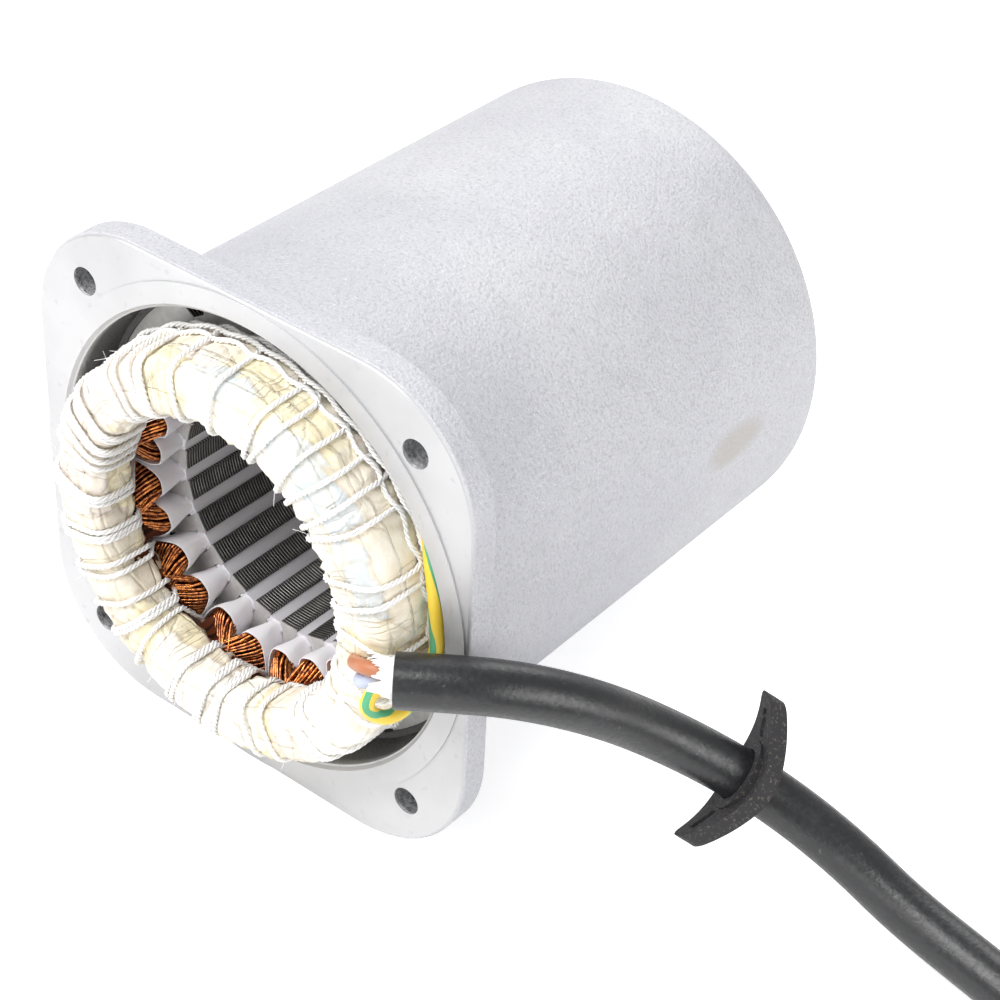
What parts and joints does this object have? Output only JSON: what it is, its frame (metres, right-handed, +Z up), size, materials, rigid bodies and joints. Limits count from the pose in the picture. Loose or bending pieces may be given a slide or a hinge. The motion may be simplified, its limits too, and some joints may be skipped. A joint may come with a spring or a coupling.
{
  "type": "wound stator",
  "caption": "Wound stator of a small induction motor in a cast aluminium flanged pot, with taped and laced coil heads and a rubber supply lead with a clamp washer",
  "frame": {"origin": "centre of the circle of flange bolt holes, on the bore axis in the flange's front face", "axes": "-Y points out of the open mouth along the bore axis, +Z up as the housing lies on its flange edge, +X to the side where the supply lead leaves"},
  "size_m": [0.3194, 0.1974, 0.1014],
  "materials": {
    "cast_aluminium": "shot-blasted casting, faced and bored at the mouth",
    "lamination_steel": "punched electrical sheet, dull",
    "liner_paper": "folded insulation paper, slightly waxy",
    "wedge_strip": "pressed fibre strip",
    "enamelled_copper": "enamelled copper wire, glossy",
    "crepe_tape": "wrinkled crepe tape, part soaked with varnish",
    "lacing_cord": "twisted white cord",
    "brown_insulation": "soft wire insulation",
    "blue_insulation": "soft wire insulation",
    "earth_insulation": "yellow wire insulation with a green spiral stripe",
    "tinned_terminal": "tinned copper",
    "plated_screw": "zinc plated",
    "black_rubber": "matt sheath, dusty",
    "washer_rubber": "matt, dusty along its edges"
  },
  "bodies": {
    "root": {"housing": "cast_aluminium", "lamination_core": "lamination_steel", "slot_liner_01": "liner_paper", "slot_liner_02": "liner_paper", "slot_liner_03": "liner_paper", "slot_liner_04": "liner_paper", "slot_liner_05": "liner_paper", "slot_liner_06": "liner_paper", "slot_liner_07": "liner_paper", "slot_liner_08": "liner_paper", "slot_liner_09": "liner_paper", "slot_liner_10": "liner_paper", "slot_liner_11": "liner_paper", "slot_liner_12": "liner_paper", "slot_liner_13": "liner_paper", "slot_liner_14": "liner_paper", "slot_liner_15": "liner_paper", "slot_liner_16": "liner_paper", "slot_liner_17": "liner_paper", "slot_liner_18": "liner_paper", "slot_liner_19": "liner_paper", "slot_liner_20": "liner_paper", "slot_liner_21": "liner_paper", "slot_liner_22": "liner_paper", "slot_liner_23": "liner_paper", "slot_liner_24": "liner_paper", "slot_wedges": "wedge_strip", "start_winding": "enamelled_copper", "main_winding": "enamelled_copper", "phase_paper_front": "liner_paper", "phase_paper_rear": "liner_paper", "head_tape_front": "crepe_tape", "head_tape_rear": "crepe_tape", "lacing_front": "lacing_cord", "lacing_rear": "lacing_cord", "live_lead": "brown_insulation", "neutral_lead": "blue_insulation", "earth_lead": "earth_insulation", "earth_lug": "tinned_terminal", "earth_screw": "plated_screw", "cable_wrap": "liner_paper", "cable": "black_rubber", "cable_coil": "black_rubber", "clamp_washer": "washer_rubber", "end_core_brown": "brown_insulation", "end_core_blue": "blue_insulation", "end_core_earth": "earth_insulation", "ferrule_brown": "tinned_terminal", "ferrule_blue": "tinned_terminal", "ferrule_earth": "tinned_terminal"}
  },
  "joints": []
}
